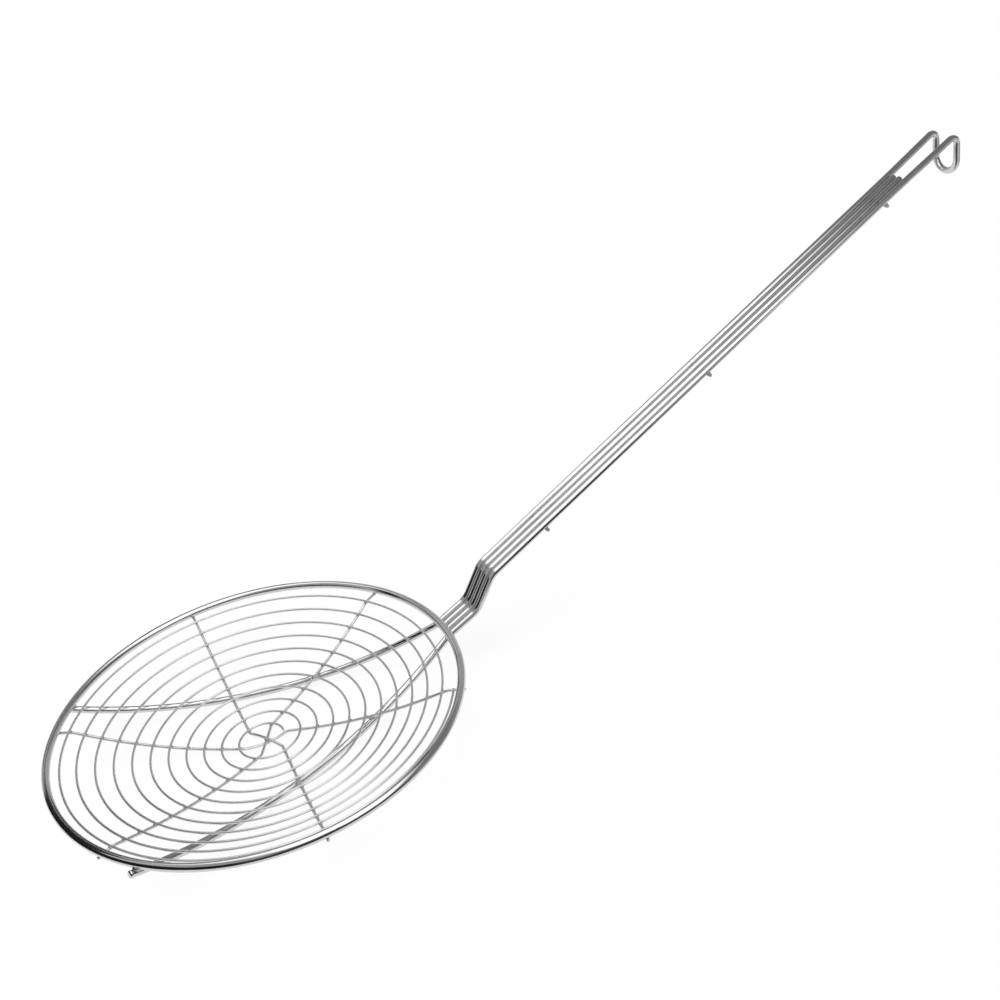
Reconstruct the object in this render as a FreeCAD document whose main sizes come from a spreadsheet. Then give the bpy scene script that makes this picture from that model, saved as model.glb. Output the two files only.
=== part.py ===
import FreeCAD, Part
import math
import os
import Sketcher
from FreeCAD import Placement, Rotation, Vector

# Spider skimmer: a shallow bowl of bright wire on a long wire handle, welded at every crossing.
# Millimetres and degrees. +Z is up along the bowl's axis and +X points along the handle.
# The origin is the lowest point of the hub, on the bowl's axis.

SIZES = [
    # Wires
    ("rim_wire", 4.0, "diameter of the rim's wire"),
    ("frame_wire", 3.5, "diameter of the four handle wires"),
    ("spoke_wire", 1.5, "diameter of the spoke wires"),
    ("mesh_wire", 1.2, "diameter of the spiral wire"),
    ("bar_wire", 2.0, "diameter of the cross bars"),
    ("weld_gap", 0.05, "clearance left at every weld"),
    # Bowl
    ("rim_radius", 100.0, "bowl axis to the rim's centre line"),
    ("dish_depth", 18.2, "hub to the level ends of the spokes"),
    # Spokes
    ("spoke_angle", 30.0, "handle to the spokes on either side of it"),
    ("spoke_ledge", 7.0, "level end of a spoke inside the rim's centre line"),
    ("spoke_overhang", 1.8, "end of a spoke past the rim's centre line"),
    ("spoke_lean", 1.5, "turn of the middle and upper spokes' ends away from the handle"),
    ("spoke_end_bend", 14.0, "bend radius where a spoke levels out"),
    ("hub_reach", 10.9, "bowl axis to the S bend of a spoke"),
    ("hub_twist", 27.8, "turn of the S bend ahead of its spoke"),
    ("hub_bend", 4.0, "bend radius of the S bend"),
    ("hub_shoulder", 4.0, "straight length from the S bend to the stacked middle"),
    # Spiral
    ("mesh_lead", 2.3, "start of the spiral inside the S bends"),
    ("mesh_turns", 11, "turns of the spiral"),
    ("mesh_tuck", 2.1, "how far the last turn is drawn in"),
    ("mesh_rim_gap", 1.2, "last turn to the rim's wire, seen from above"),
    # Handle
    ("handle_gap", 0.9, "gap between neighbouring handle wires"),
    ("run_length", 19.8, "rim to the lower bend, along the wire"),
    ("run_slope", 22.0, "slope of the wires from the rim to the lower bend"),
    ("riser_length", 20.0, "lower bend to the upper bend"),
    ("riser_slope", 54.5, "slope of the wires between the bends"),
    ("handle_length", 335.0, "upper bend to the hook's corner"),
    ("handle_slope", 24.54, "slope of the handle"),
    ("handle_bend", 11.0, "bend radius of the lower and upper bends"),
    ("inner_tail", 1.4, "ends of the inner wires past their welds under the rim"),
    ("inner_setback", 37.0, "hook's corner back to the ends of the inner wires"),
    # Hook
    ("hook_drop", 21.2, "hook's corner down to its lowest centre line"),
    ("hook_spread", 0.8, "each leg outwards, from the ends of the inner wires to the hook's corner"),
    ("hook_spread_bend", 60.0, "bend radius where a leg starts to spread"),
    ("hook_bend", 3.4, "bend radius of the hook's corner"),
    # Arms under the bowl
    ("arm_splay", 18.6, "turn of the arms away from the handle's line, seen from above"),
    ("arm_splay_bend", 18.0, "bend radius of that turn"),
    ("arm_overhang", 4.6, "end of an arm past the rim's centre line"),
    # Cross bars
    ("bar_front", 36.0, "upper bend to the front bar"),
    ("bar_middle", 151.0, "upper bend to the middle bar"),
    ("bar_rear_setback", 17.0, "ends of the inner wires back to the rear bar"),
    ("bar_overhang", 0.1, "end of a bar past the outer handle wires"),
    ("bar_edge", 0.5, "rounding of a bar's ends"),
]
SPOKE_WIRES = 3
OUTER_WIRE = 1.5
INNER_WIRE = 0.5
TOUCHING = 1e-6

doc = FreeCAD.newDocument("spider_skimmer")
sheet = doc.addObject("Spreadsheet::Sheet", "Sizes")
for row, (alias, value, note) in enumerate(SIZES, start=1):
    sheet.set(f"A{row}", alias)
    sheet.set(f"B{row}", str(value))
    sheet.setAlias(f"B{row}", alias)
    sheet.set(f"C{row}", note)
doc.recompute()


def size(alias):
    """One driving dimension, read from the sheet."""
    return float(sheet.get(alias))


# Levels of the bowl. The spokes lie on a sphere, level out under the rim and are stacked at the hub.
stack_step = size("spoke_wire") + size("weld_gap")
hub_level = stack_step + size("spoke_wire") / 2
spoke_level = hub_level + size("dish_depth")
rim_level = spoke_level + (size("spoke_wire") + size("rim_wire")) / 2 + size("weld_gap")
dish_radius = size("rim_radius") - size("spoke_ledge")
dish_sphere = (dish_radius**2 + size("dish_depth") ** 2) / (2 * size("dish_depth"))
handle_pitch = size("frame_wire") + size("handle_gap")
rim_clearance = (size("rim_wire") + size("frame_wire")) / 2 + size("weld_gap")


def polar(radius, angle):
    """Place in plan at a radius and an angle round the bowl's axis."""
    return Vector(radius * math.cos(math.radians(angle)), radius * math.sin(math.radians(angle)), 0)


def heading(slope):
    """Unit vector in the handle's plane, rising at a slope."""
    return Vector(math.cos(math.radians(slope)), 0, math.sin(math.radians(slope)))


def plan_cross(first, second):
    """Cross product of two vectors, seen from above."""
    return first.x * second.y - first.y * second.x


def plan_reach(start, direction, radius):
    """Length along a plan line from its start to the circle of a radius round the bowl's axis."""
    along = start.x * direction.x + start.y * direction.y
    return math.sqrt(along**2 + radius**2 - start.x**2 - start.y**2) - along


def dish_point(place):
    """Point of the spokes' sphere at a place in plan."""
    height = hub_level + dish_sphere - math.sqrt(dish_sphere**2 - place.x**2 - place.y**2)
    return Vector(place.x, place.y, height)


def bent_run(corners, radii):
    """Edges of straight runs through the corners, with a tangent arc at each inner corner."""
    edges = []
    start = corners[0]
    for before, corner, after, radius in zip(corners, corners[1:], corners[2:], radii):
        back = (before - corner).normalize()
        ahead = (after - corner).normalize()
        half_turn = (math.pi - back.getAngle(ahead)) / 2
        setback = radius * math.tan(half_turn)
        middle = corner + (back + ahead).normalize() * (radius / math.cos(half_turn) - radius)
        arc_start = corner + back * setback
        arc_end = corner + ahead * setback
        if (arc_start - start).Length > TOUCHING:
            edges.append(Part.makeLine(start, arc_start))
        edges.append(Part.Arc(arc_start, middle, arc_end).toShape())
        start = arc_end
    if (corners[-1] - start).Length > TOUCHING:
        edges.append(Part.makeLine(start, corners[-1]))
    return edges


def corner_arc(start, corner, end):
    """Arc that is tangent to the two equal sides of a corner."""
    foot = (start + end) * 0.5
    half_chord = (end - start).Length / 2
    rise = (corner - foot).Length
    bulge = 1 / (1 + math.hypot(1, rise / half_chord))
    return Part.Arc(start, foot + (corner - foot) * bulge, end).toShape()


def biarc(start, start_heading, end, end_heading):
    """Two tangent arcs from one point and heading to another."""
    chord = end - start
    along = chord.dot(start_heading + end_heading)
    spread = 2 * (1 - start_heading.dot(end_heading))
    reach = (math.sqrt(along**2 + spread * chord.dot(chord)) - along) / spread
    first_corner = start + start_heading * reach
    second_corner = end - end_heading * reach
    joint = (first_corner + second_corner) * 0.5
    return [corner_arc(start, first_corner, joint), corner_arc(joint, second_corner, end)]


def wire_tube(label, edges, diameter):
    """Round wire along a route: the route, its section and the sweep of the section along it."""
    route = doc.addObject("Part::Feature", label + "_route")
    route.Shape = Part.Wire(edges)
    first = edges[0]
    section = doc.addObject("Part::Circle", label + "_section")
    section.setExpression("Radius", f"Sizes.{diameter} / 2")
    square_on = Rotation(Vector(0, 0, 1), first.tangentAt(first.FirstParameter))
    section.Placement = Placement(first.valueAt(first.FirstParameter), square_on)
    tube = doc.addObject("Part::Sweep", label)
    tube.Label = label
    tube.Sections = [section]
    tube.Spine = (route, [f"Edge{number}" for number in range(1, len(edges) + 1)])
    tube.Solid = True
    tube.Frenet = False
    tube.Transition = "Transformed"
    return tube


def make_rim():
    """Thick ring of the bowl."""
    rim = doc.addObject("Part::Torus", "rim_ring")
    rim.setExpression("Radius1", "Sizes.rim_radius")
    rim.setExpression("Radius2", "Sizes.rim_wire / 2")
    rim.Placement = Placement(Vector(0, 0, rim_level), Rotation())
    return rim


def spoke_halves(number):
    """Angle and lean of the two halves of a spoke. The lowest spoke has no lean."""
    angle = 180 / SPOKE_WIRES * number - size("spoke_angle")
    lean = size("spoke_lean") if number else 0
    return (angle, lean), (angle + 180, -lean)


def spoke_line(angle, lean):
    """S bend of one half of a spoke and its heading outwards, both in plan."""
    bend = polar(size("hub_reach"), angle + size("hub_twist"))
    return bend, (polar(size("rim_radius"), angle + lean) - bend).normalize()


def spoke_half(angle, lean):
    """Points of one half of a spoke, from its end under the rim to its S bend at the hub."""
    bend, outward = spoke_line(angle, lean)
    level_reach = plan_reach(bend, outward, dish_radius)
    outer = dish_point(bend + outward * (level_reach - size("spoke_end_bend") / 2))
    middle = dish_point(bend + outward * (level_reach / 2))
    inner = dish_point(bend + outward * size("hub_bend"))
    dish_arc = Part.Arc(outer, middle, inner).toShape()
    rise = dish_arc.tangentAt(dish_arc.FirstParameter)
    fall = dish_arc.tangentAt(dish_arc.LastParameter)
    level_corner = outer + rise * ((spoke_level - outer.z) / rise.z)
    bend_corner = inner + fall * (size("hub_bend") / math.hypot(fall.x, fall.y))
    tip = bend + outward * plan_reach(bend, outward, size("rim_radius") + size("spoke_overhang"))
    tip.z = spoke_level
    return tip, level_corner, outer, middle, inner, bend_corner


def make_spoke(label, number):
    """Spoke wire right across the bowl. Its number is its place in the stack at the axis, from below."""
    half, far_half = spoke_halves(number)
    tip, level_corner, outer, middle, inner, bend_corner = spoke_half(*half)
    far_tip, far_level_corner, far_outer, far_middle, far_inner, far_bend_corner = spoke_half(*far_half)
    shoulder_level = (bend_corner.z + far_bend_corner.z) / 2
    rise = size("spoke_wire") / 2 + number * stack_step - shoulder_level
    slope = 2 * math.atan(rise / (size("hub_reach") + size("hub_shoulder")))
    hub_corner = Vector(0, 0, shoulder_level + size("hub_reach") * math.tan(slope))
    crown_bend = (size("hub_reach") - size("hub_shoulder") * math.cos(slope)) / abs(math.sin(slope))
    hub_corners = [inner, bend_corner, hub_corner, far_bend_corner, far_inner]
    edges = bent_run([tip, level_corner, outer], [size("spoke_end_bend")])
    edges.append(Part.Arc(outer, middle, inner).toShape())
    edges += bent_run(hub_corners, [size("hub_bend"), crown_bend, size("hub_bend")])
    edges.append(Part.Arc(far_inner, far_middle, far_outer).toShape())
    edges += bent_run([far_outer, far_level_corner, far_tip], [size("spoke_end_bend")])
    return wire_tube(label, edges, "spoke_wire")


def make_spiral():
    """Thin wire wound outwards on top of the spokes, one unbroken spiral from the hub to the rim."""
    lift = (size("spoke_wire") + size("mesh_wire")) / 2 + size("weld_gap")
    sphere = dish_sphere - lift
    turns = size("mesh_turns")
    start = size("hub_reach") - size("mesh_lead")
    end_radius = size("rim_radius") - (size("rim_wire") + size("mesh_wire")) / 2 - size("mesh_rim_gap")
    end = dish_sphere * math.asin(end_radius / sphere)
    pitch = (end - start + size("mesh_tuck")) / turns

    def point(turn):
        along = start + pitch * turn - size("mesh_tuck") * max(0, turn - turns + 1) ** 2
        place = polar(sphere * math.sin(along / dish_sphere), 360 * turn - size("spoke_angle"))
        height = hub_level + dish_sphere - math.sqrt(sphere**2 - place.dot(place))
        return place + Vector(0, 0, min(height, spoke_level + lift))

    def direction(turn):
        return (point(turn + TOUCHING) - point(turn - TOUCHING)).normalize()

    first = size("hub_twist") / 360
    quarters = round(4 * (turns - first))
    knots = [first + (turns - first) * quarter / quarters for quarter in range(quarters + 1)]
    edges = []
    for before, after in zip(knots, knots[1:]):
        edges += biarc(point(before), direction(before), point(after), direction(after))
    samples = [point(first + step / 60) for step in range(int(60 * (turns - first)))]
    spacing = min((a - b).Length for n, a in enumerate(samples) for b in samples[n + 30:])
    print("least gap of the spiral to itself", round(spacing - size("mesh_wire"), 2), "mm")
    return wire_tube("mesh_spiral", edges, "mesh_wire")


def arm_circle(corner, direction, foot_reach):
    """Centre height and radius of the circle that an arm follows, from the rim down below the spokes."""
    clearance = (size("spoke_wire") + size("frame_wire")) / 2 + size("weld_gap")
    halves = [half for number in range(SPOKE_WIRES) for half in spoke_halves(number)]
    circles = []
    for side in (1, -1):
        start = Vector(corner.x, side * corner.y, 0)
        ahead = Vector(direction.x, side * direction.y, 0)
        for half in halves:
            bend, outward = spoke_line(*half)
            arm_reach = plan_cross(bend - start, outward) / plan_cross(ahead, outward)
            spoke_reach = plan_cross(bend - start, ahead) / plan_cross(ahead, outward)
            if not 0 < arm_reach < 2 * foot_reach or not 0 < spoke_reach < dish_radius:
                continue
            spoke = dish_point(start + ahead * arm_reach)
            steepness = math.asin(math.hypot(spoke.x, spoke.y) / dish_sphere)
            below = spoke.z - clearance / math.cos(steepness)
            span = foot_reach**2 - (arm_reach - foot_reach) ** 2
            centre = (span + corner.z**2 - below**2) / (2 * (corner.z - below))
            circles.append((centre, math.hypot(foot_reach, corner.z - centre)))
    return min(circles, key=lambda circle: circle[0] - circle[1])


def handle_corners(offset):
    """Corners of a handle wire: under the rim, lower bend, upper bend and hook's corner."""
    under_rim = rim_level - rim_clearance / math.cos(math.radians(size("run_slope")))
    rim_corner = Vector(size("rim_radius"), offset * handle_pitch, under_rim)
    lower = rim_corner + heading(size("run_slope")) * size("run_length")
    upper = lower + heading(size("riser_slope")) * size("riser_length")
    hook = upper + heading(size("handle_slope")) * size("handle_length")
    return rim_corner, lower, upper, hook


def make_frame():
    """Long wire bent double: an arm under the bowl, an outer handle wire, the hook, and back again."""
    rim_corner, lower, upper, hook = handle_corners(OUTER_WIRE)
    direction = polar(1, 180 - size("arm_splay"))
    foot_reach = -(rim_corner.x * direction.x + rim_corner.y * direction.y)
    centre, radius = arm_circle(rim_corner, direction, foot_reach)

    def arm_point(reach):
        height = centre - math.sqrt(radius**2 - (reach - foot_reach) ** 2)
        return Vector(rim_corner.x, rim_corner.y, height) + direction * reach

    lead = 2 * size("arm_splay_bend") * math.tan(math.radians(size("arm_splay") / 2))
    tip = arm_point(plan_reach(rim_corner, direction, size("rim_radius") + size("arm_overhang")))
    arm_end = arm_point(lead)
    arm = Part.Arc(tip, arm_point(foot_reach), arm_end).toShape()
    rise = arm.tangentAt(arm.LastParameter)
    arm_corner = arm_end + rise * (lead / math.hypot(rise.x, rise.y))
    spread_start = hook - heading(size("handle_slope")) * size("inner_setback")
    hook_corner = hook + Vector(0, size("hook_spread"), 0)
    loop = hook_corner - Vector(0, 0, size("hook_drop"))
    half = [arm_end, arm_corner, lower, upper, spread_start, hook_corner, loop]
    half_bends = [
        size("arm_splay_bend"),
        size("handle_bend"),
        size("handle_bend"),
        size("hook_spread_bend"),
        size("hook_bend"),
        loop.y,
    ]
    mirrored = [Vector(point.x, -point.y, point.z) for point in reversed(half)]
    edges = [arm] + bent_run(half + mirrored, half_bends + half_bends[::-1])
    far_arm = [Vector(point.x, -point.y, point.z) for point in (arm_end, arm_point(foot_reach), tip)]
    edges.append(Part.Arc(*far_arm).toShape())
    return wire_tube("frame_wire", edges, "frame_wire")


def make_inner_wire(label, offset):
    """Inner handle wire, from under the rim to short of the hook."""
    rim_corner, lower, upper, hook = handle_corners(offset)
    weld_reach = rim_clearance * math.tan(math.radians(size("run_slope")))
    tail = rim_corner + heading(size("run_slope")) * (weld_reach - size("inner_tail"))
    end = hook - heading(size("handle_slope")) * size("inner_setback")
    edges = bent_run([tail, lower, upper, end], [size("handle_bend")] * 2)
    return wire_tube(label, edges, "frame_wire")


def make_bar(label, reach):
    """Short cross bar under the handle wires, with rounded ends."""
    body = doc.addObject("PartDesign::Body", label)
    body.Label = label
    plane = next(item for item in body.Origin.OriginFeatures if item.Role == "XZ_Plane")
    sketch = body.newObject("Sketcher::SketchObject", label + "_section")
    sketch.AttachmentSupport = (plane, [""])
    sketch.MapMode = "FlatFace"
    circle = sketch.addGeometry(Part.Circle(Vector(), Vector(0, 0, 1), size("bar_wire") / 2), False)
    sketch.addConstraint(Sketcher.Constraint("Coincident", circle, 3, -1, 1))
    diameter = sketch.addConstraint(Sketcher.Constraint("Diameter", circle, size("bar_wire")))
    sketch.setExpression(f"Constraints[{diameter}]", "Sizes.bar_wire")
    pad = body.newObject("PartDesign::Pad", label + "_length")
    pad.Profile = sketch
    pad.SideType = "Symmetric"
    span = f"{2 * OUTER_WIRE} * (Sizes.frame_wire + Sizes.handle_gap)"
    pad.setExpression("Length", f"{span} + Sizes.frame_wire + 2 * Sizes.bar_overhang")
    doc.recompute()
    rims = [
        f"Edge{number}"
        for number, edge in enumerate(pad.Shape.Edges, start=1)
        if edge.isClosed()
    ]
    rounding = body.newObject("PartDesign::Fillet", label + "_ends")
    rounding.Base = (pad, rims)
    rounding.setExpression("Radius", "Sizes.bar_edge")
    upper = handle_corners(0)[2]
    below = (size("frame_wire") + size("bar_wire")) / 2 + size("weld_gap")
    slope = size("handle_slope")
    body.Placement = Placement(upper + heading(slope) * reach - heading(slope + 90) * below, Rotation())
    return body


rear_reach = size("handle_length") - size("inner_setback") - size("bar_rear_setback")
pieces = [
    make_rim(),
    make_spiral(),
    make_spoke("spoke_wire_lower", 0),
    make_spoke("spoke_wire_middle", 1),
    make_spoke("spoke_wire_upper", 2),
    make_frame(),
    make_inner_wire("inner_wire_left", INNER_WIRE),
    make_inner_wire("inner_wire_right", -INNER_WIRE),
    make_bar("cross_bar_front", size("bar_front")),
    make_bar("cross_bar_middle", size("bar_middle")),
    make_bar("cross_bar_rear", rear_reach),
]
doc.recompute()

for item in doc.Objects:
    if "Invalid" in item.State or "Error" in item.State:
        raise RuntimeError(f"{item.Label} did not build")
for piece in pieces:
    if piece.Shape.isNull() or not piece.Shape.isValid() or len(piece.Shape.Solids) != 1:
        raise RuntimeError(f"{piece.Label} is not one valid solid")

os.makedirs("parts", exist_ok=True)
for piece in pieces:
    piece.Shape.exportStep(f"parts/{piece.Label}.step")
    print(piece.Label, round(piece.Shape.Volume, 1), "mm3")
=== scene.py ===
import math
import random

import bpy
from mathutils import Matrix, Quaternion, Vector
from mathutils.geometry import intersect_line_line
from mathutils.kdtree import KDTree


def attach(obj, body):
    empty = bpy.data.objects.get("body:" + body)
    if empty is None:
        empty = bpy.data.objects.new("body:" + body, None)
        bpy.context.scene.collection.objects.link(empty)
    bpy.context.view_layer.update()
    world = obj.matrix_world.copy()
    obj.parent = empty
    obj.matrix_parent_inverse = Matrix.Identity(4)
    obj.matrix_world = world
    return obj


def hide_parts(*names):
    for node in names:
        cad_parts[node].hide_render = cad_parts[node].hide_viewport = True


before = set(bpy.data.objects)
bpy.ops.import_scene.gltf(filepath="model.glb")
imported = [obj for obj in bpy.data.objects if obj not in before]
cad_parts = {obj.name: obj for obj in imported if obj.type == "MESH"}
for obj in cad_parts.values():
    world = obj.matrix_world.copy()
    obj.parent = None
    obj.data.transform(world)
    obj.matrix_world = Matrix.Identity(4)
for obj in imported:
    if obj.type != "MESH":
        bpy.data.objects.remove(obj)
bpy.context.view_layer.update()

# Spider skimmer: a shallow bowl of bright wire on a long wire handle, welded at every crossing.
# The wires' sizes are in millimetres and degrees. Meshes, the studio and the camera are in metres.
MM = 0.001

# Wires
RIM_WIRE = 4.0
HANDLE_WIRE = 3.5
SPOKE_WIRE = 1.5
MESH_WIRE = 1.2
BAR_WIRE = 2.0
WELD_GAP = 0.05

# Bowl
RIM_RADIUS = 100.0
DISH_DEPTH = 18.2
SPOKE_ANGLE = 30.0
SPOKE_LEDGE = 7.0
SPOKE_OVERHANG = 1.8
SPOKE_LEAN = 1.5
SPOKE_WIRES = 3
SPOKE_END_BEND = 14.0
HUB_REACH = 10.9
HUB_TWIST = 27.8
HUB_BEND = 4.0
HUB_SHOULDER = 4.0
MESH_LEAD = 2.3
MESH_TURNS = 11
MESH_TUCK = 2.1
MESH_RIM_GAP = 1.2

# Handle, hook and arms
HANDLE_GAP = 0.9
RUN_LENGTH = 19.8
RUN_SLOPE = 22.0
RISER_LENGTH = 20.0
RISER_SLOPE = 54.5
HANDLE_LENGTH = 335.0
HANDLE_SLOPE = 24.54
HANDLE_BEND = 11.0
INNER_TAIL = 1.4
INNER_SETBACK = 37.0
HOOK_DROP = 21.2
HOOK_SPREAD = 0.8
HOOK_SPREAD_BEND = 60.0
HOOK_BEND = 3.4
ARM_SPLAY = 18.6
ARM_SPLAY_BEND = 18.0
ARM_OVERHANG = 4.6
ARM_LOW = 2.7
BAR_FRONT = 36.0
BAR_MIDDLE = 151.0
BAR_REAR_SETBACK = 17.0
BAR_OVERHANG = 0.1
# Places of the handle's wires across it, in pitches from its middle
OUTER_WIRE = 1.5
INNER_WIRE = 0.5

# Levels and radii that follow from these
STACK_STEP = SPOKE_WIRE + WELD_GAP
HUB_LEVEL = STACK_STEP + SPOKE_WIRE / 2
SPOKE_LEVEL = HUB_LEVEL + DISH_DEPTH
RIM_LEVEL = SPOKE_LEVEL + (SPOKE_WIRE + RIM_WIRE) / 2 + WELD_GAP
DISH_RADIUS = RIM_RADIUS - SPOKE_LEDGE
DISH_SPHERE = (DISH_RADIUS**2 + DISH_DEPTH**2) / (2 * DISH_DEPTH)
HANDLE_PITCH = HANDLE_WIRE + HANDLE_GAP
RIM_CLEARANCE = (RIM_WIRE + HANDLE_WIRE) / 2 + WELD_GAP

# Fineness of the meshes
RING_STEP = 1.2
ARC_STEP = math.radians(4)
RIM_SIDES = 32
HANDLE_SIDES = 28
BAR_SIDES = 20
SPOKE_SIDES = 16
MESH_SIDES = 14
# Rounded edge of a cut end: how far back from the cut and how thick, in radii
CUT_END = [(0.0, 0.62), (0.05, 0.8), (0.15, 0.93), (0.32, 1.0)]

# Welds: how near two wires come to be welded, and how alike their ways are where they don't cross,
# but run side by side. Then how far a bead spreads past the thinner wire, how thick it is in radii
# of that wire, how uneven the beads are, and how far the dull, darker mark round one runs.
# That mark is heat tint, with painted shade in the crevices between crossing wires
WELD_REACH = 0.4
SIDE_BY_SIDE = 0.98
BEAD_SPREAD = 0.3
BEAD_THICKNESS = 0.7
BEAD_SIZES = (0.9, 1.1)
BEAD_LENGTHS = (0.95, 1.15)
BEAD_SEED = 5
BEAD_SIDES = 12
BEAD_RINGS = 7
WELD_TINT_AND_SHADE_REACH = 1.6

# Finishes: each wire's grey and dullness, and then what the patterns on it add
POLISHED_WIRE = (0.61, 0.07)
SATIN_WIRE = (0.72, 0.28)
DULL_WIRE = (0.61, 0.4)
FINE_DETAIL = 3.0
SOFT_DETAIL = 2.0
CLOUDING = 0.05
CLOUD_SCALE = 0.09
CLOUD_DULLNESS = 0.06
DRAWN_STRETCH = (4.0, 4.0, 0.05)
DRAWN_DULLNESS = 0.09
SPECK_SCALE = 2.2
SPECK_HEIGHT = 0.4
WIRE_RELIEF = 0.02 * MM
WIRE_RELIEF_STRENGTH = 0.15
# Darker, browner colour round the welds: the welds' heat tint, and painted shade in the crevices between
# crossing wires
WELD_TINT_AND_SHADE_COLOUR = (0.38, 0.365, 0.345, 1)
WELD_TINT_AND_SHADE_SHARE = 0.5
HEAT_DULLNESS = 0.2
BEAD_DARK = (0.4, 0.395, 0.385, 1)
BEAD_LIGHT = (0.56, 0.555, 0.55, 1)
BEAD_DULLNESS = 0.2
SKIN_SCALE = 1.5 / MM
SKIN_DULLNESS = 0.15
SKIN_RELIEF = 0.03 * MM
SKIN_RELIEF_STRENGTH = 0.3

# Studio: the floor, the lamp and the world
FLOOR_LEVEL = -0.0002
FLOOR_REACH = 6.0
FLOOR_GREYS = (0.93, 0.95)
FLOOR_GRAIN = 40.0
FLOOR_ROUGHNESS = 0.9
FLOOR_GLOSS = 0.1
# Share of plain white in the floor as it is seen. The rest keeps the shadow.
FLOOR_WHITE = 0.88
WORLD_LIGHT = 0.3
KEY_ENERGY = 3.0
KEY_ANGLE = math.radians(70)
KEY_TILT = (math.radians(10), math.radians(-25), 0)

# Studio: the grey room, the softbox and the cloths, which only the steel shows
ROOM_GREY = 0.22
ROOM_RADIUS = 4.0
ROOM_RINGS = 8
ROOM_SIDES = 32
BACK_LIGHTER = 0.3
BACK_FADE = (-0.2 * ROOM_RADIUS, 0.6 * ROOM_RADIUS)
LEFT_LIGHTER = 0.2
LEFT_FADE = (0.3 * ROOM_RADIUS, -0.5 * ROOM_RADIUS)
SOFTBOX_WHITE = 1.75
SOFTBOX_HEIGHT = 0.5
# Left, right, front and back edge of the softbox, its slanting right side and its cut corner
SOFTBOX_EDGES = (-0.2, 0.6, -0.8, 0.55)
SOFTBOX_SLANT = 0.35
SOFTBOX_RIGHT = 0.36
SOFTBOX_CORNER = 0.5
SOFT_EDGE = 0.15
BLACK = 0.012
DARK_GREY = 0.05
MIDDLE_GREY = 0.1
LIGHT_GREY = 0.45
WEAVE_SCALE = 300.0
WEAVE_DARKEST = 0.8
WEAVE_RANGE = 0.4
CUT_FLAG_PLACE = 0.15
# Where the front cloth changes from dark to light grey, from left to right
CLOTH_CHANGE = (0.24, 0.4)

# Camera
CAMERA_PLACE = Vector((-68.0, -508.5, 402.8)) * MM
CAMERA_TARGET = Vector((156.2, 27.8, 60.0)) * MM
CAMERA_ROLL = math.radians(-10.86)
CAMERA_LENS = 46.68
CAMERA_NEAREST = 0.01


def polar(radius, angle):
    """Place in plan at a radius and an angle round the bowl's axis."""
    turn = math.radians(angle)
    return Vector((radius * math.cos(turn), radius * math.sin(turn), 0))


def heading(slope):
    """Unit vector in the handle's plane, rising at a slope."""
    return Vector((math.cos(math.radians(slope)), 0, math.sin(math.radians(slope))))


def mirrored(route):
    """The same route on the other side of the handle's plane, run backwards."""
    return [Vector((place.x, -place.y, place.z)) for place in reversed(route)]


def joined(*stretches):
    """One route from stretches that meet end to end."""
    route = list(stretches[0])
    for stretch in stretches[1:]:
        route += stretch[1:]
    return route


def straight(start, end):
    """Points from start to end, a ring's step apart."""
    count = max(1, round((end - start).length / RING_STEP))
    return [start.lerp(end, step / count) for step in range(count + 1)]


def swing(start, end, centre):
    """Points of the short arc from start to end round a centre."""
    first = start - centre
    last = end - centre
    turn = first.angle(last)
    axis = first.cross(last)
    count = math.ceil(max(turn / ARC_STEP, turn * first.length / RING_STEP))
    return [centre + Matrix.Rotation(turn * step / count, 3, axis) @ first for step in range(count + 1)]


def circle_centre(start, middle, end):
    """Centre of the circle through three places."""
    first = start - end
    second = middle - end
    normal = first.cross(second)
    across = (second * first.length_squared - first * second.length_squared).cross(normal)
    return end + across / (2 * normal.length_squared)


def tangent(centre, place, sense):
    """Direction of a circle at a place on it, with the sense of another direction."""
    radial = (place - centre).normalized()
    return (sense - radial * sense.dot(radial)).normalized()


def bent_run(corners, radii):
    """Straight runs through the corners, with a tangent arc at each inner corner."""
    stretches = []
    start = corners[0]
    for before, corner, after, radius in zip(corners, corners[1:], corners[2:], radii):
        back = (before - corner).normalized()
        ahead = (after - corner).normalized()
        half_turn = (math.pi - back.angle(ahead)) / 2
        setback = radius * math.tan(half_turn)
        centre = corner + (back + ahead).normalized() * (radius / math.cos(half_turn))
        arc = swing(corner + back * setback, corner + ahead * setback, centre)
        stretches += [straight(start, arc[0]), arc]
        start = arc[-1]
    return joined(*stretches, straight(start, corners[-1]))


def plan_reach(start, direction, radius):
    """Length along a plan line from its start to the circle of a radius round the bowl's axis."""
    along = start.x * direction.x + start.y * direction.y
    return math.sqrt(along**2 + radius**2 - start.x**2 - start.y**2) - along


def on_dish(place):
    """Point of the spokes' sphere at a place in plan."""
    height = HUB_LEVEL + DISH_SPHERE - math.sqrt(DISH_SPHERE**2 - place.x**2 - place.y**2)
    return Vector((place.x, place.y, height))


def rim_route():
    """Closed ring of the rim."""
    count = round(2 * math.pi * RIM_RADIUS / RING_STEP)
    level = Vector((0, 0, RIM_LEVEL))
    return [polar(RIM_RADIUS, 360 * step / count) + level for step in range(count)]


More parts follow.
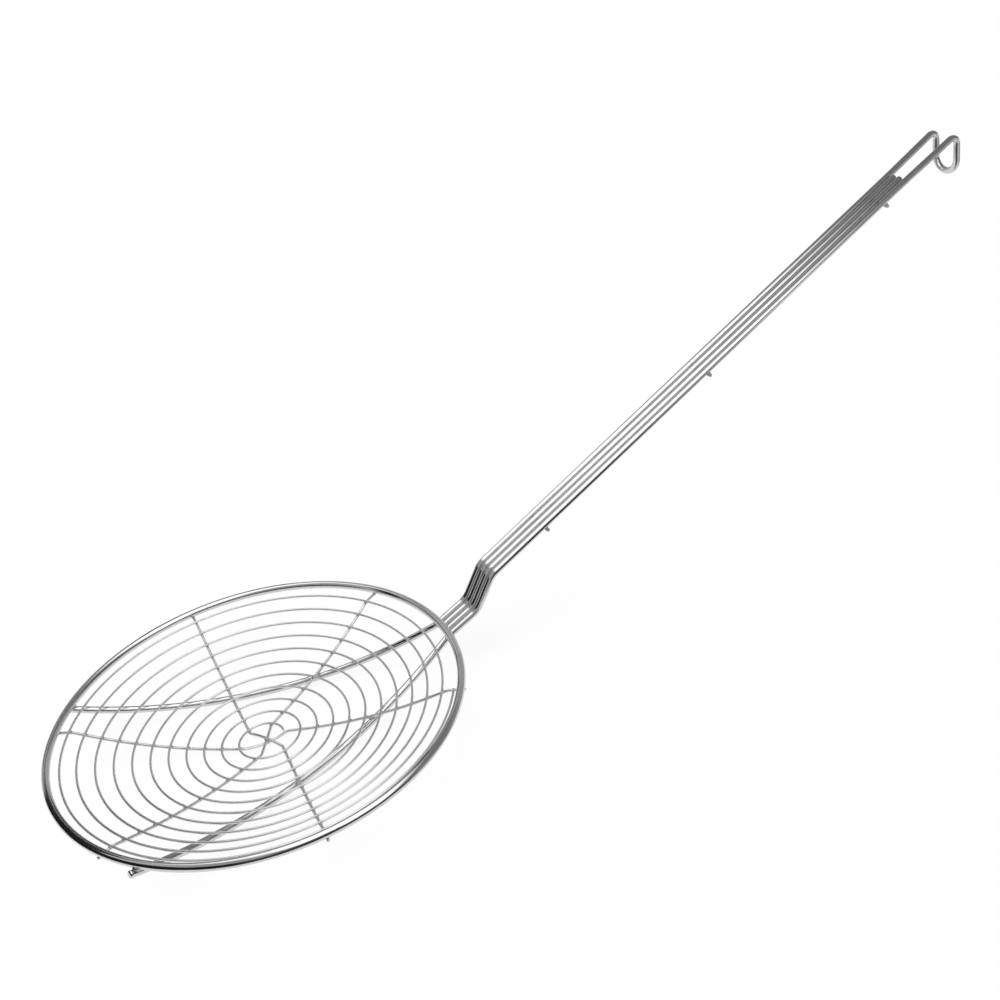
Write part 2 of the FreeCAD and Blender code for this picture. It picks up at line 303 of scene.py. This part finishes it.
def spoke_half(angle, lean):
    """Half of a spoke, from its end under the rim to its S bend at the hub, and that bend's corner."""
    bend = polar(HUB_REACH, angle + HUB_TWIST)
    outward = (polar(RIM_RADIUS, angle + lean) - bend).normalized()
    level_reach = plan_reach(bend, outward, DISH_RADIUS)
    outer = on_dish(bend + outward * (level_reach - SPOKE_END_BEND / 2))
    middle = on_dish(bend + outward * (level_reach / 2))
    inner = on_dish(bend + outward * HUB_BEND)
    centre = circle_centre(outer, middle, inner)
    rise = tangent(centre, outer, outer - inner)
    fall = tangent(centre, inner, inner - outer)
    level_corner = outer + rise * ((SPOKE_LEVEL - outer.z) / rise.z)
    bend_corner = inner + fall * (HUB_BEND / math.hypot(fall.x, fall.y))
    tip = bend + outward * plan_reach(bend, outward, RIM_RADIUS + SPOKE_OVERHANG)
    tip.z = SPOKE_LEVEL
    end_run = bent_run([tip, level_corner, outer], [SPOKE_END_BEND])
    return joined(end_run, swing(outer, inner, centre)), bend_corner


def spoke_route(number):
    """Spoke right across the bowl. Its number is its place in the stack at the axis, from below."""
    angle = 180 / SPOKE_WIRES * number - SPOKE_ANGLE
    lean = SPOKE_LEAN if number else 0
    half, bend_corner = spoke_half(angle, lean)
    far_half, far_bend_corner = spoke_half(angle + 180, -lean)
    shoulder_level = (bend_corner.z + far_bend_corner.z) / 2
    crown_rise = SPOKE_WIRE / 2 + number * STACK_STEP - shoulder_level
    slope = 2 * math.atan(crown_rise / (HUB_REACH + HUB_SHOULDER))
    hub_corner = Vector((0, 0, shoulder_level + HUB_REACH * math.tan(slope)))
    crown_bend = (HUB_REACH - HUB_SHOULDER * math.cos(slope)) / abs(math.sin(slope))
    hub_corners = [half[-1], bend_corner, hub_corner, far_bend_corner, far_half[-1]]
    crown = bent_run(hub_corners, [HUB_BEND, crown_bend, HUB_BEND])
    return joined(half, crown, far_half[::-1])


def spiral_route():
    """Thin wire wound outwards on top of the spokes, from the hub to the rim."""
    lift = (SPOKE_WIRE + MESH_WIRE) / 2 + WELD_GAP
    sphere = DISH_SPHERE - lift
    start = HUB_REACH - MESH_LEAD
    end_radius = RIM_RADIUS - (RIM_WIRE + MESH_WIRE) / 2 - MESH_RIM_GAP
    end = DISH_SPHERE * math.asin(end_radius / sphere)
    pitch = (end - start + MESH_TUCK) / MESH_TURNS
    route = []
    turn = HUB_TWIST / 360
    while turn < MESH_TURNS:
        along = start + pitch * turn - MESH_TUCK * max(0, turn - MESH_TURNS + 1) ** 2
        radius = sphere * math.sin(along / DISH_SPHERE)
        height = HUB_LEVEL + DISH_SPHERE - math.sqrt(sphere**2 - radius**2)
        place = polar(radius, 360 * turn - SPOKE_ANGLE)
        place.z = min(height, SPOKE_LEVEL + lift)
        route.append(place)
        turn += RING_STEP / (2 * math.pi * radius)
    return route


def handle_corners(offset):
    """Corners of a handle wire: under the rim, lower bend, upper bend and hook's corner."""
    under_rim = RIM_LEVEL - RIM_CLEARANCE / math.cos(math.radians(RUN_SLOPE))
    rim_corner = Vector((RIM_RADIUS, offset * HANDLE_PITCH, under_rim))
    lower = rim_corner + heading(RUN_SLOPE) * RUN_LENGTH
    upper = lower + heading(RISER_SLOPE) * RISER_LENGTH
    hook = upper + heading(HANDLE_SLOPE) * HANDLE_LENGTH
    return rim_corner, lower, upper, hook


def frame_route():
    """Long wire bent double: an arm under the bowl, an outer handle wire, the hook, and back again."""
    rim_corner, lower, upper, hook = handle_corners(OUTER_WIRE)
    direction = polar(1, 180 - ARM_SPLAY)
    foot_reach = -(rim_corner.x * direction.x + rim_corner.y * direction.y)
    arm_fall = rim_corner.z - ARM_LOW
    arm_radius = (foot_reach**2 + arm_fall**2) / (2 * arm_fall)

    def arm_point(reach):
        height = ARM_LOW + arm_radius - math.sqrt(arm_radius**2 - (reach - foot_reach) ** 2)
        return Vector((rim_corner.x, rim_corner.y, height)) + direction * reach

    lead = 2 * ARM_SPLAY_BEND * math.tan(math.radians(ARM_SPLAY / 2))
    tip = arm_point(plan_reach(rim_corner, direction, RIM_RADIUS + ARM_OVERHANG))
    arm_end = arm_point(lead)
    centre = circle_centre(tip, arm_point(foot_reach), arm_end)
    rise = tangent(centre, arm_end, arm_end - tip)
    arm_corner = arm_end + rise * (lead / math.hypot(rise.x, rise.y))
    spread_start = hook - heading(HANDLE_SLOPE) * INNER_SETBACK
    hook_corner = hook + Vector((0, HOOK_SPREAD, 0))
    loop = hook_corner - Vector((0, 0, HOOK_DROP))
    half = [arm_end, arm_corner, lower, upper, spread_start, hook_corner, loop]
    bends = [ARM_SPLAY_BEND, HANDLE_BEND, HANDLE_BEND, HOOK_SPREAD_BEND, HOOK_BEND, loop.y]
    arm = swing(tip, arm_end, centre)
    return joined(arm, bent_run(half + mirrored(half), bends + bends[::-1]), mirrored(arm))


def inner_route(offset):
    """Inner handle wire, from under the rim to short of the hook."""
    rim_corner, lower, upper, hook = handle_corners(offset)
    weld_reach = RIM_CLEARANCE * math.tan(math.radians(RUN_SLOPE))
    tail = rim_corner + heading(RUN_SLOPE) * (weld_reach - INNER_TAIL)
    end = hook - heading(HANDLE_SLOPE) * INNER_SETBACK
    return bent_run([tail, lower, upper, end], [HANDLE_BEND] * 2)


def bar_route(reach):
    """Short cross bar under the handle wires."""
    upper = handle_corners(0)[2]
    below = (HANDLE_WIRE + BAR_WIRE) / 2 + WELD_GAP
    middle = upper + heading(HANDLE_SLOPE) * reach - heading(HANDLE_SLOPE + 90) * below
    half = Vector((0, OUTER_WIRE * HANDLE_PITCH + HANDLE_WIRE / 2 + BAR_OVERHANG, 0))
    return straight(middle - half, middle + half)


class Wire:
    """One piece of wire: its name, the part's node that it stands for, its route and its thickness."""

    def __init__(self, name, node, route, diameter, sides, closed=False):
        self.name = name
        self.node = node
        self.route = route
        self.radius = diameter / 2
        self.sides = sides
        self.closed = closed


def find_welds(first, second):
    """Welds of two wires: contact, the first one's way, the way between them and the thinner radius."""
    tree = KDTree(len(second.route))
    for number, place in enumerate(second.route):
        tree.insert(place, number)
    tree.balance()
    near = [tree.find(place) for place in first.route]
    reach = first.radius + second.radius + WELD_REACH
    thinner = min(first.radius, second.radius)
    found = []
    for number in range(1, len(near) - 1):
        gap = near[number][2]
        if gap > reach or gap > near[number - 1][2] or gap >= near[number + 1][2]:
            continue
        other = min(max(near[number][1], 1), len(second.route) - 2)
        before, after = first.route[number - 1], first.route[number + 1]
        other_before, other_after = second.route[other - 1], second.route[other + 1]
        ahead = (after - before).normalized()
        if abs(ahead.dot((other_after - other_before).normalized())) > SIDE_BY_SIDE:
            continue
        low, high = intersect_line_line(before, after, other_before, other_after)
        contact = low.lerp(high, first.radius / (first.radius + second.radius))
        found.append((contact, ahead, (high - low).normalized(), thinner))
    return found


def ring_centres(wire):
    """Centre, direction and thickness for each ring of a wire's mesh."""
    route, radius = wire.route, wire.radius
    if wire.closed:
        ways = [after - before for before, after in zip(route[-1:] + route, route[1:] + route[:1])]
        return [(place, way.normalized(), radius) for place, way in zip(route, ways)]
    start_way = (route[1] - route[0]).normalized()
    end_way = (route[-1] - route[-2]).normalized()
    start = [(route[0] + start_way * (back * radius), start_way, thick * radius) for back, thick in CUT_END]
    end = [(route[-1] - end_way * (back * radius), end_way, thick * radius) for back, thick in CUT_END]
    middle = []
    for before, place, after in zip(route, route[1:], route[2:]):
        middle.append((place, (after - before).normalized(), radius))
    return start + middle + end[::-1]


def new_mesh(name, places, faces):
    """Smooth mesh from places in metres."""
    mesh = bpy.data.meshes.new(name)
    mesh.from_pydata(places, [], faces)
    mesh.shade_smooth()
    return mesh


def lay_out_map(mesh, stretches, sides, slenderness):
    """Map of a tube's outside: its length cut into rows that fill a square."""
    rows = max(1, round(math.sqrt(slenderness)))
    per_row = math.ceil(stretches / rows)
    spread = mesh.uv_layers.new(name="OFBake").uv
    corners = [(0, 0), (0, 1), (1, 1), (1, 0)]
    for face in mesh.polygons:
        stretch, side = divmod(face.index, sides)
        row, step = divmod(min(stretch, stretches - 1), per_row)
        for number, loop in enumerate(face.loop_indices):
            ahead, around = corners[number % len(corners)]
            spread[loop].vector = ((step + ahead) / per_row, (row + (side + around) / sides) / rows)


def wire_mesh(wire, weld_tree):
    """Round tube along a wire's route, with its place along it and the welds' heat tint and painted shade.
    """
    rings = ring_centres(wire)
    sides = wire.sides
    across = Vector((0, 0, 1)) if wire.closed else rings[0][1].orthogonal().normalized()
    places = []
    unrolled = []
    tint_and_shade_levels = []
    length = 0.0
    before = rings[0][0]
    for centre, way, radius in rings:
        across = (across - way * across.dot(way)).normalized()
        beside = way.cross(across)
        length += (centre - before).length
        before = centre
        for side in range(sides):
            turn = 2 * math.pi * side / sides
            out = across * math.cos(turn) + beside * math.sin(turn)
            place = centre + out * radius
            places.append(place * MM)
            unrolled += [radius * math.cos(turn), radius * math.sin(turn), length]
            # How near a weld each point is, for its darker colour: heat tint and painted crevice shade
            tint_and_shade_levels.append(math.exp(-((weld_tree.find(place)[2] / WELD_TINT_AND_SHADE_REACH) ** 2)))
    faces = []
    stretches = len(rings) if wire.closed else len(rings) - 1
    for ring in range(stretches):
        this = ring * sides
        following = (ring + 1) % len(rings) * sides
        for side in range(sides):
            beyond = (side + 1) % sides
            faces.append((this + side, this + beyond, following + beyond, following + side))
    if not wire.closed:
        faces.append(tuple(reversed(range(sides))))
        faces.append(tuple(range(len(places) - sides, len(places))))
    mesh = new_mesh(wire.name, places, faces)
    mesh.attributes.new("wire_place", "FLOAT_VECTOR", "POINT").data.foreach_set("vector", unrolled)
    mesh.attributes.new("weld_tint_and_shade", "FLOAT", "POINT").data.foreach_set("value", tint_and_shade_levels)
    lay_out_map(mesh, stretches, sides, length / (2 * math.pi * wire.radius))
    return mesh


def bead_mesh(name, welds):
    """Mesh of small flattened beads, one where each pair of wires is welded."""
    places = []
    faces = []
    for contact, ahead, between, thin in welds:
        spread = (thin + BEAD_SPREAD) * random.uniform(*BEAD_SIZES)
        long_way = ahead * (spread * random.uniform(*BEAD_LENGTHS))
        wide_way = between.cross(ahead).normalized() * spread
        thick_way = between * (thin * BEAD_THICKNESS)
        first = len(places)
        places.append((contact - thick_way) * MM)
        for ring in range(1, BEAD_RINGS):
            level = math.pi * ring / BEAD_RINGS
            for side in range(BEAD_SIDES):
                turn = 2 * math.pi * side / BEAD_SIDES
                across = long_way * math.cos(turn) + wide_way * math.sin(turn)
                places.append((contact - thick_way * math.cos(level) + across * math.sin(level)) * MM)
        places.append((contact + thick_way) * MM)
        last = len(places) - 1
        top = last - BEAD_SIDES
        for side in range(BEAD_SIDES):
            beyond = (side + 1) % BEAD_SIDES
            faces.append((first, first + 1 + beyond, first + 1 + side))
            for ring in range(BEAD_RINGS - 2):
                this = first + 1 + ring * BEAD_SIDES
                following = this + BEAD_SIDES
                faces.append((this + side, this + beyond, following + beyond, following + side))
            faces.append((top + side, top + beyond, last))
    return new_mesh(name, places, faces)


class Shade:
    """Socket of a shader. Sums on it add Math nodes, and node() adds any other node."""

    def __init__(self, tree, socket=None):
        self.tree = tree
        self.socket = socket

    def node(self, kind, settings, sockets, output=0):
        made = self.tree.nodes.new(kind)
        for name, value in settings.items():
            setattr(made, name, value)
        for name, value in sockets.items():
            self.feed(made.inputs[name], value)
        return Shade(self.tree, made.outputs[output])

    def feed(self, socket, value):
        if isinstance(value, Shade):
            self.tree.links.new(value.socket, socket)
        else:
            socket.default_value = value

    def math(self, operation, first, second):
        return self.node("ShaderNodeMath", {"operation": operation}, {0: first, 1: second})

    def __add__(self, other):
        return self.math("ADD", self, other)

    def __radd__(self, other):
        return self.math("ADD", other, self)

    def __mul__(self, other):
        return self.math("MULTIPLY", self, other)

    def __rmul__(self, other):
        return self.math("MULTIPLY", other, self)


def new_material(name):
    """Empty node material, its shader sums and its main shader."""
    material = bpy.data.materials.new(name)
    material.use_nodes = True
    tree = material.node_tree
    return material, Shade(tree), tree.nodes["Principled BSDF"]


def grey(level):
    """Neutral colour of a level."""
    return (level, level, level, 1)


def noise(shade, scale, detail=SOFT_DETAIL, place=None):
    """Soft random pattern, laid out by a place where one is given."""
    sockets = {"Scale": scale, "Detail": detail}
    if place is not None:
        sockets["Vector"] = place
    return shade.node("ShaderNodeTexNoise", {}, sockets)


def blend(shade, factor, first, second):
    """Colour between two others."""
    colour_output = 2
    sockets = {"Factor": factor, "A": first, "B": second}
    return shade.node("ShaderNodeMix", {"data_type": "RGBA"}, sockets, colour_output)


def relief(shade, strength, depth, height):
    """Surface direction from a bumpy height."""
    return shade.node("ShaderNodeBump", {}, {"Strength": strength, "Distance": depth, "Height": height})


def drawn_wire(name, steel_grey, dullness):
    """Drawn steel wire: fine lines along the wire, faint clouding, and dull darker weld marks, heat tint
    and painted shade.
    """
    material, shade, steel = new_material(name)
    place = shade.node("ShaderNodeAttribute", {"attribute_name": "wire_place"}, {}, "Vector")
    tint_and_shade_mask = shade.node("ShaderNodeAttribute", {"attribute_name": "weld_tint_and_shade"}, {}, "Fac")
    stretched = shade.node("ShaderNodeVectorMath", {"operation": "MULTIPLY"}, {0: place, 1: DRAWN_STRETCH})
    drawn = noise(shade, 1.0, FINE_DETAIL, stretched)
    clouds = noise(shade, CLOUD_SCALE, SOFT_DETAIL, place)
    specks = noise(shade, SPECK_SCALE, SOFT_DETAIL, place)
    clouded = blend(shade, clouds, grey(steel_grey - CLOUDING), grey(steel_grey + CLOUDING))
    # Base colour darker near the welds: heat tint, and painted shade where the wires cross
    shade.feed(steel.inputs["Base Color"], blend(shade, tint_and_shade_mask * WELD_TINT_AND_SHADE_SHARE, clouded, WELD_TINT_AND_SHADE_COLOUR))
    roughness = dullness + DRAWN_DULLNESS * drawn + CLOUD_DULLNESS * clouds + HEAT_DULLNESS * tint_and_shade_mask
    shade.feed(steel.inputs["Roughness"], roughness)
    height = drawn + SPECK_HEIGHT * specks
    shade.feed(steel.inputs["Normal"], relief(shade, WIRE_RELIEF_STRENGTH, WIRE_RELIEF, height))
    steel.inputs["Metallic"].default_value = 1.0
    return material


def weld_metal(name):
    """Metal that ran at the welds: a little duller and browner than the wire, with a fine skin."""
    material, shade, steel = new_material(name)
    place = shade.node("ShaderNodeTexCoord", {}, {}, "Object")
    skin = noise(shade, SKIN_SCALE, FINE_DETAIL, place)
    shade.feed(steel.inputs["Base Color"], blend(shade, skin, BEAD_DARK, BEAD_LIGHT))
    shade.feed(steel.inputs["Roughness"], BEAD_DULLNESS + SKIN_DULLNESS * skin)
    shade.feed(steel.inputs["Normal"], relief(shade, SKIN_RELIEF_STRENGTH, SKIN_RELIEF, skin))
    steel.inputs["Metallic"].default_value = 1.0
    return material


def show(name, mesh, material):
    """Piece of the skimmer from a mesh, in its finish, carried by the part's one body."""
    piece = bpy.data.objects.new(name, mesh)
    mesh.materials.append(material)
    bpy.context.scene.collection.objects.link(piece)
    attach(piece, "root")
    return piece


# The skimmer's wires
wires = [
    Wire("rim", "rim_ring", rim_route(), RIM_WIRE, RIM_SIDES, closed=True),
    Wire("spiral", "mesh_spiral", spiral_route(), MESH_WIRE, MESH_SIDES),
    Wire("lower_spoke", "spoke_wire_lower", spoke_route(0), SPOKE_WIRE, SPOKE_SIDES),
    Wire("middle_spoke", "spoke_wire_middle", spoke_route(1), SPOKE_WIRE, SPOKE_SIDES),
    Wire("upper_spoke", "spoke_wire_upper", spoke_route(2), SPOKE_WIRE, SPOKE_SIDES),
    Wire("handle_frame", "frame_wire", frame_route(), HANDLE_WIRE, HANDLE_SIDES),
    Wire("left_handle_wire", "inner_wire_left", inner_route(INNER_WIRE), HANDLE_WIRE, HANDLE_SIDES),
    Wire("right_handle_wire", "inner_wire_right", inner_route(-INNER_WIRE), HANDLE_WIRE, HANDLE_SIDES),
]
bar_reaches = {
    "front": BAR_FRONT,
    "middle": BAR_MIDDLE,
    "rear": HANDLE_LENGTH - INNER_SETBACK - BAR_REAR_SETBACK,
}
for which, reach in bar_reaches.items():
    wires.append(Wire(f"{which}_bar", f"cross_bar_{which}", bar_route(reach), BAR_WIRE, BAR_SIDES))

# Their welds
welds = []
for number, first in enumerate(wires):
    for second in wires[number + 1:]:
        welds += find_welds(first, second)
weld_tree = KDTree(len(welds))
for number, weld in enumerate(welds):
    weld_tree.insert(weld[0], number)
weld_tree.balance()

# The pieces: polished rim and handle, satin mesh and spokes, dull bars, and the beads of the welds
rim_finish = drawn_wire("bright_drawn_wire", *POLISHED_WIRE)
mesh_finish = drawn_wire("satin_fine_wire", *SATIN_WIRE)
bar_finish = drawn_wire("dull_cut_wire", *DULL_WIRE)
for wire in wires:
    finish = rim_finish
    if wire.node.startswith(("mesh_spiral", "spoke_wire")):
        finish = mesh_finish
    elif wire.node.startswith("cross_bar"):
        finish = bar_finish
    piece = show(wire.name, wire_mesh(wire, weld_tree), finish)
    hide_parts(wire.node)
random.seed(BEAD_SEED)
show("weld_beads", bead_mesh("weld_beads", welds), weld_metal("weld_metal"))


def stage_thing(name, places, faces, material):
    """Thing of the studio from places in metres, which isn't part of the skimmer."""
    mesh = bpy.data.meshes.new(name)
    mesh.from_pydata(places, [], faces)
    mesh.materials.append(material)
    thing = bpy.data.objects.new(name, mesh)
    bpy.context.scene.collection.objects.link(thing)
    return thing


def stage_sheet(name, corners, material):
    """Flat sheet of the studio from its corners."""
    return stage_thing(name, corners, [tuple(range(len(corners)))], material)


def oblong(left, right, low, high):
    """Outline of an oblong sheet."""
    return [(left, low), (right, low), (right, high), (left, high)]


def level_at(height, outline):
    """Corners of a level sheet at a height, from its outline across and along."""
    return [(across, along, height) for across, along in outline]


def front_facing(along, outline):
    """Corners of an upright sheet that faces the front, from its outline across and up."""
    return [(across, along, height) for across, height in outline]


def side_facing(across, outline):
    """Corners of an upright sheet that faces the side, from its outline along and up."""
    return [(across, along, height) for along, height in outline]


def seen_ray(shade):
    """1 for what the camera sees, straight, in metal or through glass, and 0 for light on the object."""
    rays = []
    for kind in ("Is Camera Ray", "Is Glossy Ray", "Is Transmission Ray"):
        rays.append(shade.node("ShaderNodeLightPath", {}, {}, kind))
    return rays[0] + rays[1] + rays[2]


def white_floor():
    """White floor that the camera and the steel see nearly shadowless."""
    material, shade, paint = new_material("white_floor")
    paint.inputs["Roughness"].default_value = FLOOR_ROUGHNESS
    paint.inputs["Specular IOR Level"].default_value = FLOOR_GLOSS
    dark, light = FLOOR_GREYS
    shade.feed(paint.inputs["Base Color"], blend(shade, noise(shade, FLOOR_GRAIN), grey(dark), grey(light)))
    glow = shade.node("ShaderNodeEmission", {}, {"Color": grey(1), "Strength": 1.0})
    plain = Shade(shade.tree, paint.outputs["BSDF"])
    mixed = shade.node("ShaderNodeMixShader", {}, {0: FLOOR_WHITE * seen_ray(shade), 1: plain, 2: glow})
    shade.feed(shade.tree.nodes["Material Output"].inputs["Surface"], mixed)
    return material


def glow_material(name):
    """Material that only gives light, with the places across and along the studio to grade it by."""
    material, shade, paint = new_material(name)
    paint.inputs["Base Color"].default_value = grey(0)
    paint.inputs["Specular IOR Level"].default_value = 0.0
    paint.inputs["Emission Strength"].default_value = 1.0
    place = shade.node("ShaderNodeTexCoord", {}, {}, "Object")
    across = shade.node("ShaderNodeSeparateXYZ", {}, {"Vector": place}, "X")
    along = shade.node("ShaderNodeSeparateXYZ", {}, {"Vector": place}, "Y")
    return material, shade, paint.inputs["Emission Color"], across, along


def fade(shade, value, dark_end, light_end):
    """Soft step from 0 at one place to 1 at another."""
    return shade.node(
        "ShaderNodeMapRange", {"interpolation_type": "SMOOTHSTEP"},
        {"Value": value, "From Min": dark_end, "From Max": light_end},
    )


def softbox_glow():
    """White cloth of a long softbox, darker towards its edges."""
    material, shade, glow, across, along = glow_material("softbox_glow")
    left, _, _, back = SOFTBOX_EDGES
    inside = fade(shade, across, left, left + SOFT_EDGE) * fade(shade, along, back, back - SOFT_EDGE)
    slant = across + SOFTBOX_SLANT * along
    inside = inside * fade(shade, slant, SOFTBOX_RIGHT, SOFTBOX_RIGHT - SOFT_EDGE)
    inside = inside * fade(shade, across + along, SOFTBOX_CORNER, SOFTBOX_CORNER - SOFT_EDGE)
    shade.feed(glow, ROOM_GREY + (SOFTBOX_WHITE - ROOM_GREY) * inside)
    return material


def grey_wall():
    """Grey walls of the room, lighter at the back and on the left."""
    material, shade, glow, across, along = glow_material("grey_wall")
    back = fade(shade, along, *BACK_FADE)
    left = fade(shade, across, *LEFT_FADE)
    shade.feed(glow, ROOM_GREY + BACK_LIGHTER * back + LEFT_LIGHTER * left)
    return material


def studio_cloth(name, level, right_level=None):
    """Plain cloth of a studio flag, or one that changes to another grey towards the right."""
    material, shade, glow, across, _ = glow_material(name)
    weave = WEAVE_DARKEST + WEAVE_RANGE * noise(shade, WEAVE_SCALE)
    if right_level is not None:
        weave = weave * (1 + (right_level / level - 1) * fade(shade, across, *CLOTH_CHANGE))
    shade.feed(glow, level * weave)
    return material


def studio_room():
    """Round room about the table."""
    places = []
    faces = []
    for level in range(ROOM_RINGS + 1):
        rise = math.pi / 2 * level / ROOM_RINGS
        out = ROOM_RADIUS * math.cos(rise)
        for side in range(ROOM_SIDES):
            turn = 2 * math.pi * side / ROOM_SIDES
            places.append((out * math.cos(turn), out * math.sin(turn), ROOM_RADIUS * math.sin(rise)))
    for level in range(ROOM_RINGS):
        low = level * ROOM_SIDES
        high = low + ROOM_SIDES
        for side in range(ROOM_SIDES):
            beyond = (side + 1) % ROOM_SIDES
            faces.append((low + side, low + beyond, high + beyond, high + side))
    return stage_thing("studio_room", places, faces, grey_wall())


def only_in_steel(thing):
    """Keep a thing of the studio out of the camera's sight and off the floor: only the steel shows it."""
    thing.visible_camera = False
    thing.visible_diffuse = False
    thing.visible_shadow = False


# The floor, and what the steel shows: room, softbox, cloths and cards
floor_outline = oblong(-FLOOR_REACH, FLOOR_REACH, -FLOOR_REACH, FLOOR_REACH)
stage_sheet("floor", level_at(FLOOR_LEVEL, floor_outline), white_floor())
only_in_steel(studio_room())
black_cloth = studio_cloth("black_cloth", BLACK)
grey_cloth = studio_cloth("grey_cloth", MIDDLE_GREY)
front_grey = studio_cloth("front_grey", DARK_GREY, LIGHT_GREY)
light_card = studio_cloth("light_card", LIGHT_GREY)
left_outline = [(-0.45, 0), (0.045, 0), (0.045, 0.115), (-0.02, 0.13), (-0.05, 0.18), (-0.45, 0.2)]
cut_outline = [
    (-0.6, 0), (-0.215, 0), (-0.18, 0.1), (-0.095, 0.13),
    (-0.05, 0.12), (-0.07, 0.175), (-0.15, 0.27), (-0.6, 0.34),
]
cut_tip_outline = [(-0.03, 0.05), (0, 0.05), (-0.01, 0.095), (-0.05, 0.12)]
front_outline = [
    (-0.5, -0.6), (0.45, -0.6), (0.45, -0.02), (0.13, -0.085),
    (0.1, -0.18), (0.02, -0.18), (-0.08, -0.13), (-0.5, -0.22),
]
# Each sheet's name, corners and cloth. Flags darken what the steel shows, and cards lighten it.
studio_sheets = [
    ("softbox", level_at(SOFTBOX_HEIGHT, oblong(*SOFTBOX_EDGES)), softbox_glow()),
    ("left_flag", side_facing(-0.2, left_outline), black_cloth),
    ("riser_flag", side_facing(0.06, oblong(-0.05, 0.05, 0.038, 0.08)), black_cloth),
    ("top_flag", level_at(SOFTBOX_HEIGHT, oblong(-0.62, -0.2, 0.25, 0.55)), black_cloth),
    ("cut_flag", front_facing(CUT_FLAG_PLACE, cut_outline), black_cloth),
    ("cut_flag_tip", front_facing(CUT_FLAG_PLACE, cut_tip_outline), black_cloth),
    ("back_flag_low", front_facing(0.3, oblong(-0.2, -0.05, 0.09, 0.15)), black_cloth),
    ("back_card", front_facing(0.301, oblong(-0.5, -0.03, 0.08, 0.4)), light_card),
    ("back_wing", front_facing(0.3, oblong(-0.03, 0.1, 0, 0.16)), grey_cloth),
    ("front_flag", front_facing(-0.3, oblong(-0.5, 0.45, 0, 0.13)), front_grey),
    ("camera_flag", front_facing(-0.55, oblong(-0.2, 0.12, 0.3, 0.62)), grey_cloth),
    ("riser_card", front_facing(-0.025, oblong(0.085, 0.122, 0.028, 0.07)), light_card),
    ("right_card", side_facing(0.62, oblong(-0.5, 0.5, 0, 0.12)), light_card),
    ("front_cloth", level_at(0, front_outline), front_grey),
]
for name, corners, cloth in studio_sheets:
    only_in_steel(stage_sheet(name, corners, cloth))

# World, lamp and camera
world = bpy.data.worlds.new("studio")
world.use_nodes = True
bpy.context.scene.world = world
sky = Shade(world.node_tree)
sky_level = WORLD_LIGHT + (1 - WORLD_LIGHT) * seen_ray(sky)
sky.feed(world.node_tree.nodes["Background"].inputs["Color"], sky_level)

lamp = bpy.data.lights.new("soft_key", "SUN")
lamp.energy = KEY_ENERGY
lamp.angle = KEY_ANGLE
key = bpy.data.objects.new("soft_key", lamp)
key.rotation_euler = KEY_TILT
key.visible_glossy = False
bpy.context.scene.collection.objects.link(key)

camera = bpy.data.cameras.new("photo_camera")
camera.lens = CAMERA_LENS
camera.clip_start = CAMERA_NEAREST
tripod = bpy.data.objects.new("photo_camera", camera)
tripod.location = CAMERA_PLACE
tripod.rotation_mode = "QUATERNION"
aim = (CAMERA_TARGET - CAMERA_PLACE).to_track_quat("-Z", "Y")
tripod.rotation_quaternion = aim @ Quaternion((0, 0, 1), CAMERA_ROLL)
bpy.context.scene.collection.objects.link(tripod)
bpy.context.scene.camera = tripod
bpy.context.scene.view_settings.view_transform = "Standard"
